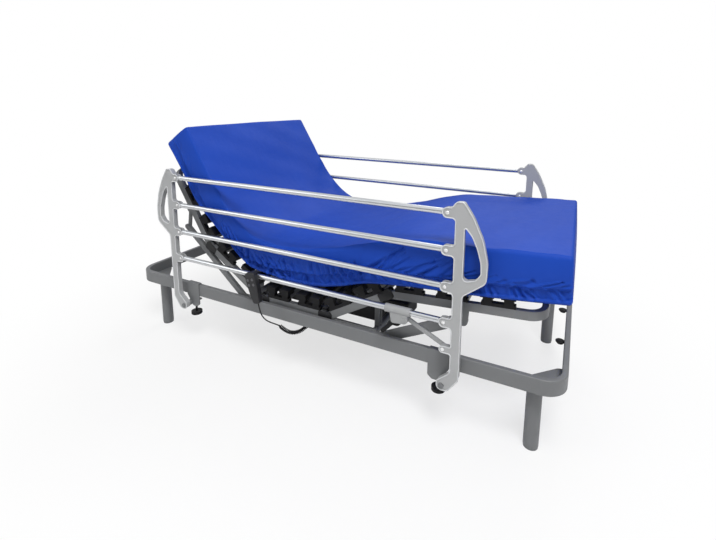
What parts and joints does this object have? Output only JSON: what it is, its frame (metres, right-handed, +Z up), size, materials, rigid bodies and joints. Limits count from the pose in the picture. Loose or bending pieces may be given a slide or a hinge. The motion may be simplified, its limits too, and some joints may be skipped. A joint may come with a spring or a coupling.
{
  "type": "electric hospital bed",
  "caption": "Electric adjustable bed with a five-section lying surface, padded mattress, folding side rails and a handset",
  "frame": {"origin": "on the floor, under the middle of the bed's outline", "axes": "+X runs to the foot end, +Y to the far side, +Z up"},
  "size_m": [2, 0.979, 1.0354],
  "materials": {
    "frame_paint": "satin powder coat",
    "rail_casting": "satin silver-grey",
    "rail_steel": "satin",
    "lock_metal": "satin",
    "black_plastic": "fine grain",
    "black_paint": "semi-gloss",
    "roller_plastic": "smooth",
    "drive_plastic": "fine grain",
    "carriage_plastic": "smooth",
    "mattress_cover": "coated, soft sheen",
    "handset_shell": "fine grain",
    "handset_keys": "smooth",
    "cord_sheath": "satin"
  },
  "bodies": {
    "base": {"base_loop": "frame_paint", "frame_members": "frame_paint", "legs": "frame_paint", "seat_frame": "frame_paint", "seat_slats": "black_plastic", "seat_hinges": "black_paint", "rail_clamps": "frame_paint", "drive_housing": "drive_plastic", "mattress_seat": "mattress_cover", "handset_cord": "cord_sheath"},
    "back": {"back_frame": "frame_paint", "back_slats": "black_plastic", "back_hinges": "black_paint", "mattress_back": "mattress_cover"},
    "head": {"head_frame": "frame_paint", "head_slats": "black_plastic", "mattress_head": "mattress_cover"},
    "thigh": {"thigh_frame": "frame_paint", "thigh_slats": "black_plastic", "knee_hinges": "black_paint", "mattress_thigh": "mattress_cover"},
    "calf": {"calf_frame": "frame_paint", "calf_slats": "black_plastic", "mattress_calf": "mattress_cover"},
    "back_lift": {"back_lift_arms": "frame_paint"},
    "back_lift_wheels": {"back_lift_rollers": "roller_plastic"},
    "leg_lift": {"leg_lift_arms": "frame_paint"},
    "leg_lift_wheels": {"leg_lift_rollers": "roller_plastic"},
    "back_drive_carriage": {"back_carriage": "carriage_plastic"},
    "leg_drive_carriage": {"leg_carriage": "carriage_plastic"},
    "head_guide": {"head_guides": "frame_paint"},
    "guide_link": {"guide_links": "frame_paint"},
    "calf_strut": {"calf_struts": "frame_paint"},
    "near_head_post": {"near_head_upright": "rail_casting"},
    "near_foot_post": {"near_foot_upright": "rail_casting"},
    "near_tube_1": {"near_rail_tube_1": "rail_steel", "handset": "handset_shell"},
    "near_tube_2": {"near_rail_tube_2": "rail_steel"},
    "near_tube_3": {"near_rail_tube_3": "rail_steel"},
    "near_tube_4": {"near_rail_tube_4": "rail_steel"},
    "near_lock": {"near_lock_sleeve": "lock_metal"},
    "near_brace": {"near_brace_link": "lock_metal"},
    "near_lever": {"near_release_lever": "black_plastic"},
    "near_head_screw": {"near_head_knob": "black_plastic"},
    "near_foot_screw": {"near_foot_knob": "black_plastic"},
    "far_head_post": {"far_head_upright": "rail_casting"},
    "far_foot_post": {"far_foot_upright": "rail_casting"},
    "far_tube_1": {"far_rail_tube_1": "rail_steel"},
    "far_tube_2": {"far_rail_tube_2": "rail_steel"},
    "far_tube_3": {"far_rail_tube_3": "rail_steel"},
    "far_tube_4": {"far_rail_tube_4": "rail_steel"},
    "far_lock": {"far_lock_sleeve": "lock_metal"},
    "far_brace": {"far_brace_link": "lock_metal"},
    "far_lever": {"far_release_lever": "black_plastic"},
    "far_head_screw": {"far_head_knob": "black_plastic"},
    "far_foot_screw": {"far_foot_knob": "black_plastic"},
    "button_1": {"handset_button_1": "handset_keys"},
    "button_2": {"handset_button_2": "handset_keys"},
    "button_3": {"handset_button_3": "handset_keys"},
    "button_4": {"handset_button_4": "handset_keys"}
  },
  "joints": [
    {"name": "back_hinge", "type": "hinge", "parent": "base", "child": "back", "pos_m": [-0.217, 0, 0.308], "axis": [0, 1, 0], "range_deg": [-33, 5]},
    {"name": "head_hinge", "type": "hinge", "parent": "back", "child": "head", "pos_m": [-0.51305, 0, 0.50026], "axis": [0, 1, 0], "range_deg": [-26, 3.94]},
    {"name": "thigh_hinge", "type": "hinge", "parent": "base", "child": "thigh", "pos_m": [0.123, 0, 0.308], "axis": [0, -1, 0], "range_deg": [-30, 8]},
    {"name": "knee_hinge", "type": "hinge", "parent": "thigh", "child": "calf", "pos_m": [0.38714, 0, 0.4605], "axis": [0, 1, 0], "range_deg": [-26, 6.93]},
    {"name": "back_lift_turn", "type": "hinge", "parent": "base", "child": "back_lift", "pos_m": [-0.367, 0, 0.216], "axis": [0, 1, 0], "range_deg": [-69.37, 10.51]},
    {"name": "leg_lift_turn", "type": "hinge", "parent": "base", "child": "leg_lift", "pos_m": [0.273, 0, 0.216], "axis": [0, -1, 0], "range_deg": [-63.06, 16.82]},
    {"name": "back_roller_spin", "type": "hinge", "parent": "back_lift", "child": "back_lift_wheels", "pos_m": [-0.35119, 0, 0.36617], "axis": [0, 1, 0], "continuous": true},
    {"name": "leg_roller_spin", "type": "hinge", "parent": "leg_lift", "child": "leg_lift_wheels", "pos_m": [0.27379, 0, 0.367], "axis": [0, 1, 0], "continuous": true},
    {"name": "back_carriage_slide", "type": "slide", "parent": "base", "child": "back_drive_carriage", "axis": [-1, 0, 0], "range_m": [-0.06693, 0.01014]},
    {"name": "leg_carriage_slide", "type": "slide", "parent": "base", "child": "leg_drive_carriage", "axis": [1, 0, 0], "range_m": [-0.06085, 0.01623]},
    {"name": "head_guide_turn", "type": "hinge", "parent": "base", "child": "head_guide", "pos_m": [-0.29, 0, 0.262], "axis": [0, 1, 0], "range_deg": [-48.65, 7.37]},
    {"name": "guide_link_turn", "type": "hinge", "parent": "head_guide", "child": "guide_link", "pos_m": [-0.65529, 0, 0.5709], "axis": [0, 1, 0], "range_deg": [-5.33, 35.15]},
    {"name": "calf_strut_turn", "type": "hinge", "parent": "base", "child": "calf_strut", "pos_m": [0.33, 0, 0.26216], "axis": [0, -1, 0], "range_deg": [-27.66, 7.38]},
    {"name": "near_rail_fold", "type": "hinge", "parent": "base", "child": "near_head_post", "pos_m": [-0.63, -0.464, 0.209], "axis": [0, 1, 0], "range_deg": [0, 75], "deforming": ["handset_cord"]},
    {"name": "near_foot_fold", "type": "hinge", "parent": "base", "child": "near_foot_post", "pos_m": [0.614, -0.464, 0.209], "axis": [0, 1, 0], "range_deg": [0, 75]},
    {"name": "near_tube_1_turn", "type": "hinge", "parent": "near_head_post", "child": "near_tube_1", "pos_m": [-0.63, -0.464, 0.44], "axis": [0, 1, 0], "range_deg": [-75, 0]},
    {"name": "near_tube_2_turn", "type": "hinge", "parent": "near_head_post", "child": "near_tube_2", "pos_m": [-0.63, -0.464, 0.5657], "axis": [0, 1, 0], "range_deg": [-75, 0]},
    {"name": "near_tube_3_turn", "type": "hinge", "parent": "near_head_post", "child": "near_tube_3", "pos_m": [-0.63, -0.464, 0.6914], "axis": [0, 1, 0], "range_deg": [-75, 0]},
    {"name": "near_tube_4_turn", "type": "hinge", "parent": "near_head_post", "child": "near_tube_4", "pos_m": [-0.63, -0.464, 0.8171], "axis": [0, 1, 0], "range_deg": [-75, 0]},
    {"name": "near_lock_slide", "type": "slide", "parent": "near_tube_1", "child": "near_lock", "axis": [-1, 0, 0], "range_m": [0, 0.10964]},
    {"name": "near_brace_turn", "type": "hinge", "parent": "near_lock", "child": "near_brace", "pos_m": [0.472, -0.464, 0.412], "axis": [0, -1, 0], "range_deg": [0, 27.07]},
    {"name": "near_release_squeeze", "type": "hinge", "parent": "near_lock", "child": "near_lever", "pos_m": [0.442, -0.464, 0.404], "axis": [0, 1, 0], "range_deg": [0, 18], "stiffness_Nm_per_rad": 0.4, "springref_deg": -20.05},
    {"name": "near_head_screw_turn", "type": "hinge", "parent": "base", "child": "near_head_screw", "pos_m": [-0.607, -0.424, 0.2], "axis": [0, 0, 1], "continuous": true},
    {"name": "near_foot_screw_turn", "type": "hinge", "parent": "base", "child": "near_foot_screw", "pos_m": [0.591, -0.424, 0.2], "axis": [0, 0, 1], "continuous": true},
    {"name": "far_rail_fold", "type": "hinge", "parent": "base", "child": "far_head_post", "pos_m": [-0.52, 0.464, 0.209], "axis": [0, 1, 0], "range_deg": [0, 75]},
    {"name": "far_foot_fold", "type": "hinge", "parent": "base", "child": "far_foot_post", "pos_m": [0.724, 0.464, 0.209], "axis": [0, 1, 0], "range_deg": [0, 75]},
    {"name": "far_tube_1_turn", "type": "hinge", "parent": "far_head_post", "child": "far_tube_1", "pos_m": [-0.52, 0.464, 0.44], "axis": [0, 1, 0], "range_deg": [-75, 0]},
    {"name": "far_tube_2_turn", "type": "hinge", "parent": "far_head_post", "child": "far_tube_2", "pos_m": [-0.52, 0.464, 0.5657], "axis": [0, 1, 0], "range_deg": [-75, 0]},
    {"name": "far_tube_3_turn", "type": "hinge", "parent": "far_head_post", "child": "far_tube_3", "pos_m": [-0.52, 0.464, 0.6914], "axis": [0, 1, 0], "range_deg": [-75, 0]},
    {"name": "far_tube_4_turn", "type": "hinge", "parent": "far_head_post", "child": "far_tube_4", "pos_m": [-0.52, 0.464, 0.8171], "axis": [0, 1, 0], "range_deg": [-75, 0]},
    {"name": "far_lock_slide", "type": "slide", "parent": "far_tube_1", "child": "far_lock", "axis": [-1, 0, 0], "range_m": [0, 0.10964]},
    {"name": "far_brace_turn", "type": "hinge", "parent": "far_lock", "child": "far_brace", "pos_m": [0.582, 0.464, 0.412], "axis": [0, -1, 0], "range_deg": [0, 27.07]},
    {"name": "far_release_squeeze", "type": "hinge", "parent": "far_lock", "child": "far_lever", "pos_m": [0.552, 0.464, 0.404], "axis": [0, 1, 0], "range_deg": [0, 18], "stiffness_Nm_per_rad": 0.4, "springref_deg": -20.05},
    {"name": "far_head_screw_turn", "type": "hinge", "parent": "base", "child": "far_head_screw", "pos_m": [-0.497, 0.424, 0.2], "axis": [0, 0, 1], "continuous": true},
    {"name": "far_foot_screw_turn", "type": "hinge", "parent": "base", "child": "far_foot_screw", "pos_m": [0.701, 0.424, 0.2], "axis": [0, 0, 1], "continuous": true},
    {"name": "button_1_press", "type": "slide", "parent": "near_tube_1", "child": "button_1", "axis": [0, 1, 0], "range_m": [0, 0.0012], "stiffness_N_per_m": 900, "springref_m": -0.0012},
    {"name": "button_2_press", "type": "slide", "parent": "near_tube_1", "child": "button_2", "axis": [0, 1, 0], "range_m": [0, 0.0012], "stiffness_N_per_m": 900, "springref_m": -0.0012},
    {"name": "button_3_press", "type": "slide", "parent": "near_tube_1", "child": "button_3", "axis": [0, 1, 0], "range_m": [0, 0.0012], "stiffness_N_per_m": 900, "springref_m": -0.0012},
    {"name": "button_4_press", "type": "slide", "parent": "near_tube_1", "child": "button_4", "axis": [0, 1, 0], "range_m": [0, 0.0012], "stiffness_N_per_m": 900, "springref_m": -0.0012}
  ],
  "couplings": [
    {"joint": "head_hinge", "follows": "back_hinge", "ratio": 0.78788},
    {"joint": "knee_hinge", "follows": "thigh_hinge", "ratio": 0.86667},
    {"joint": "back_lift_turn", "follows": "back_hinge", "ratio": 2.1022},
    {"joint": "leg_lift_turn", "follows": "thigh_hinge", "ratio": 2.1021},
    {"joint": "back_carriage_slide", "follows": "back_hinge", "m_per_rad": 0.1162},
    {"joint": "leg_carriage_slide", "follows": "thigh_hinge", "m_per_rad": 0.1162},
    {"joint": "head_guide_turn", "follows": "back_hinge", "ratio": 1.4742},
    {"joint": "guide_link_turn", "follows": "back_hinge", "ratio": -1.0651},
    {"joint": "calf_strut_turn", "follows": "thigh_hinge", "ratio": 0.92189},
    {"joint": "near_foot_fold", "follows": "near_rail_fold", "ratio": 1},
    {"joint": "near_tube_1_turn", "follows": "near_rail_fold", "ratio": -1},
    {"joint": "near_tube_2_turn", "follows": "near_rail_fold", "ratio": -1},
    {"joint": "near_tube_3_turn", "follows": "near_rail_fold", "ratio": -1},
    {"joint": "near_tube_4_turn", "follows": "near_rail_fold", "ratio": -1},
    {"joint": "near_lock_slide", "follows": "near_rail_fold", "m_per_rad": 0.083686},
    {"joint": "near_brace_turn", "follows": "near_rail_fold", "ratio": 0.35955},
    {"joint": "far_foot_fold", "follows": "far_rail_fold", "ratio": 1},
    {"joint": "far_tube_1_turn", "follows": "far_rail_fold", "ratio": -1},
    {"joint": "far_tube_2_turn", "follows": "far_rail_fold", "ratio": -1},
    {"joint": "far_tube_3_turn", "follows": "far_rail_fold", "ratio": -1},
    {"joint": "far_tube_4_turn", "follows": "far_rail_fold", "ratio": -1},
    {"joint": "far_lock_slide", "follows": "far_rail_fold", "m_per_rad": 0.083686},
    {"joint": "far_brace_turn", "follows": "far_rail_fold", "ratio": 0.35955}
  ]
}
